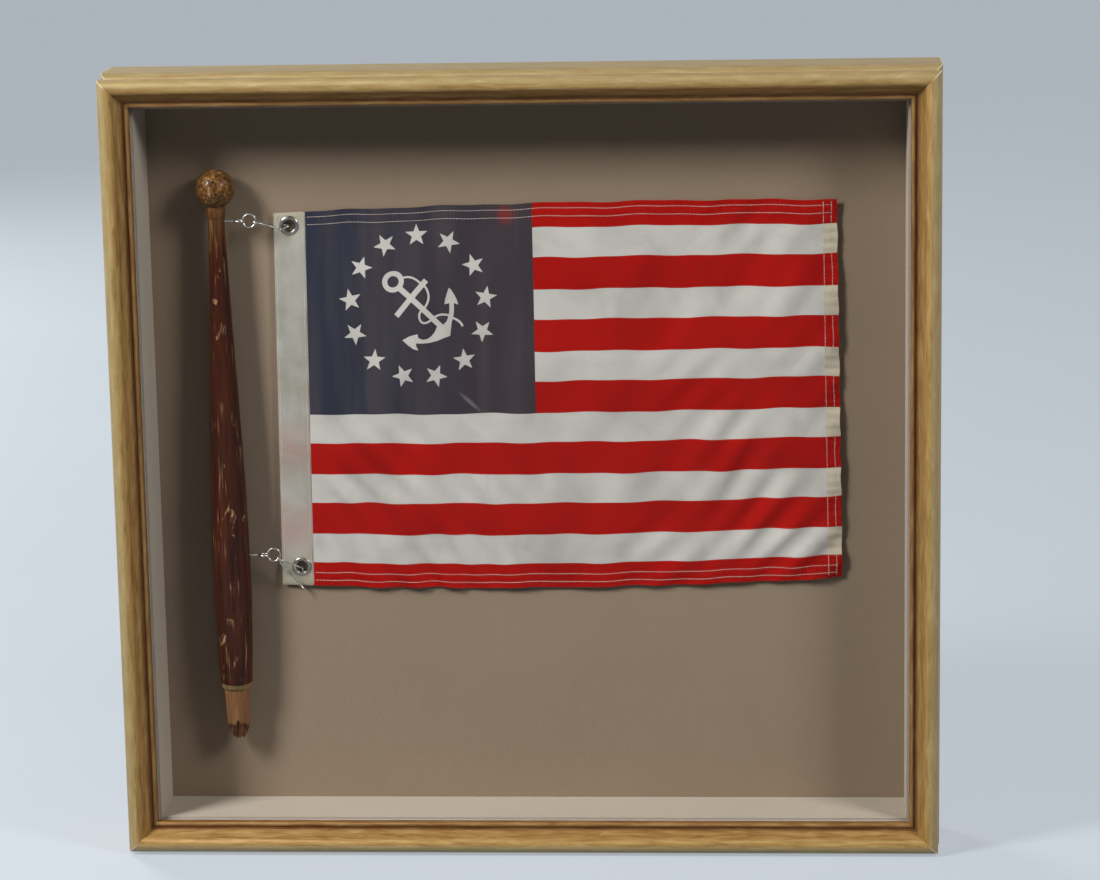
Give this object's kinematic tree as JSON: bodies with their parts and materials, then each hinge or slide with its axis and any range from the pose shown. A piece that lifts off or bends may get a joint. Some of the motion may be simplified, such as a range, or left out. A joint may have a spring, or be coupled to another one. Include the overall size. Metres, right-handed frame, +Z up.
{
  "type": "flag display case",
  "caption": "Glazed gilt shadow-box case with a flat striped boat flag clipped to a broken turned staff, a removable rear tray, turn buttons and hanging rings.",
  "frame": {"origin": "centre of the flat foot of the bottom rail, on the surface that the case stands on", "axes": "+X to the right as seen from the front, +Y to the rear, +Z up"},
  "size_m": [0.6648, 0.093, 0.6378],
  "materials": {
    "gilt_moulding": "satin",
    "liner_mat": "matte",
    "backing_mat": "matte",
    "foam_board": "matte",
    "brass_plate": "satin",
    "bumper_felt": "matte",
    "nickel_steel": "satin",
    "bright_wire": "polished",
    "grommet_metal": "satin",
    "clear_acrylic": "gloss",
    "case_glass": "gloss",
    "hardboard": "matte",
    "staff_wood": "gloss",
    "flag_cloth": "matte",
    "heading_canvas": "matte"
  },
  "bodies": {
    "case": {"bottom_liner": "liner_mat", "bottom_rail": "gilt_moulding", "bottom_spacer": "foam_board", "corner_v_nails": "nickel_steel", "glass_pane": "case_glass", "hanger_screws": "nickel_steel", "left_bumper": "bumper_felt", "left_hanger_strap": "nickel_steel", "left_liner": "liner_mat", "left_rail": "gilt_moulding", "left_spacer": "foam_board", "right_bumper": "bumper_felt", "right_hanger_strap": "nickel_steel", "right_liner": "liner_mat", "right_rail": "gilt_moulding", "right_spacer": "foam_board", "top_liner": "liner_mat", "top_rail": "gilt_moulding", "top_spacer": "foam_board", "turn_button_screws": "brass_plate"},
    "tray": {"backing_mat": "backing_mat", "backing_board": "foam_board", "rear_panel": "hardboard", "staff": "staff_wood", "upper_cradle": "clear_acrylic", "lower_cradle": "clear_acrylic", "cradle_screws": "nickel_steel", "upper_screw_eye": "bright_wire", "lower_screw_eye": "bright_wire", "flag_cloth": "flag_cloth", "flag_heading": "heading_canvas", "upper_grommet": "grommet_metal", "lower_grommet": "grommet_metal"},
    "turn_button_bottom_left": {"turn_button_bottom_left": "brass_plate"},
    "turn_button_bottom_right": {"turn_button_bottom_right": "brass_plate"},
    "turn_button_left_lower": {"turn_button_left_lower": "brass_plate"},
    "turn_button_left_upper": {"turn_button_left_upper": "brass_plate"},
    "turn_button_right_lower": {"turn_button_right_lower": "brass_plate"},
    "turn_button_right_upper": {"turn_button_right_upper": "brass_plate"},
    "turn_button_top_left": {"turn_button_top_left": "brass_plate"},
    "turn_button_top_right": {"turn_button_top_right": "brass_plate"},
    "left_d_ring": {"left_d_ring": "nickel_steel"},
    "right_d_ring": {"right_d_ring": "nickel_steel"},
    "upper_ring": {"upper_ring": "bright_wire"},
    "lower_ring": {"lower_ring": "bright_wire"},
    "upper_snap": {"upper_snap": "bright_wire"},
    "lower_snap": {"lower_snap": "bright_wire"}
  },
  "joints": [
    {"name": "tray_slide", "type": "slide", "parent": "case", "child": "tray", "axis": [0, 1, 0], "range_m": [0, 0.12]},
    {"name": "turn_button_bottom_left_turn", "type": "hinge", "parent": "case", "child": "turn_button_bottom_left", "pos_m": [-0.1824, 0.0248, 0.0095], "axis": [0, 1, 0], "range_deg": [0, 90]},
    {"name": "turn_button_bottom_right_turn", "type": "hinge", "parent": "case", "child": "turn_button_bottom_right", "pos_m": [0.1824, 0.0248, 0.0095], "axis": [0, 1, 0], "range_deg": [0, 90]},
    {"name": "turn_button_left_lower_turn", "type": "hinge", "parent": "case", "child": "turn_button_left_lower", "pos_m": [-0.3229, 0.0248, 0.15], "axis": [0, 1, 0], "range_deg": [0, 90]},
    {"name": "turn_button_left_upper_turn", "type": "hinge", "parent": "case", "child": "turn_button_left_upper", "pos_m": [-0.3229, 0.0248, 0.4878], "axis": [0, 1, 0], "range_deg": [0, 90]},
    {"name": "turn_button_right_lower_turn", "type": "hinge", "parent": "case", "child": "turn_button_right_lower", "pos_m": [0.3229, 0.0248, 0.15], "axis": [0, 1, 0], "range_deg": [0, 90]},
    {"name": "turn_button_right_upper_turn", "type": "hinge", "parent": "case", "child": "turn_button_right_upper", "pos_m": [0.3229, 0.0248, 0.4878], "axis": [0, 1, 0], "range_deg": [0, 90]},
    {"name": "turn_button_top_left_turn", "type": "hinge", "parent": "case", "child": "turn_button_top_left", "pos_m": [-0.1824, 0.0248, 0.6283], "axis": [0, 1, 0], "range_deg": [0, 90]},
    {"name": "turn_button_top_right_turn", "type": "hinge", "parent": "case", "child": "turn_button_top_right", "pos_m": [0.1824, 0.0248, 0.6283], "axis": [0, 1, 0], "range_deg": [0, 90]},
    {"name": "left_d_ring_swing", "type": "hinge", "parent": "case", "child": "left_d_ring", "pos_m": [-0.3229, 0.0273, 0.4258], "axis": [1, 0, 0], "range_deg": [0, 180]},
    {"name": "right_d_ring_swing", "type": "hinge", "parent": "case", "child": "right_d_ring", "pos_m": [0.3229, 0.0273, 0.4258], "axis": [1, 0, 0], "range_deg": [0, 180]},
    {"name": "upper_ring_swing", "type": "hinge", "parent": "tray", "child": "upper_ring", "pos_m": [-0.22141, -0.0018, 0.51548], "axis": [1, 0, 0], "range_deg": [-15, 15]},
    {"name": "upper_snap_swing", "type": "hinge", "parent": "tray", "child": "upper_snap", "pos_m": [-0.22141, -0.0018, 0.51548], "axis": [0, 1, 0], "range_deg": [-3, 3]},
    {"name": "lower_ring_swing", "type": "hinge", "parent": "tray", "child": "lower_ring", "pos_m": [-0.21076, -0.0018, 0.23908], "axis": [1, 0, 0], "range_deg": [-15, 15]},
    {"name": "lower_snap_swing", "type": "hinge", "parent": "tray", "child": "lower_snap", "pos_m": [-0.21076, -0.0018, 0.23908], "axis": [0, 1, 0], "range_deg": [-3, 3]}
  ]
}
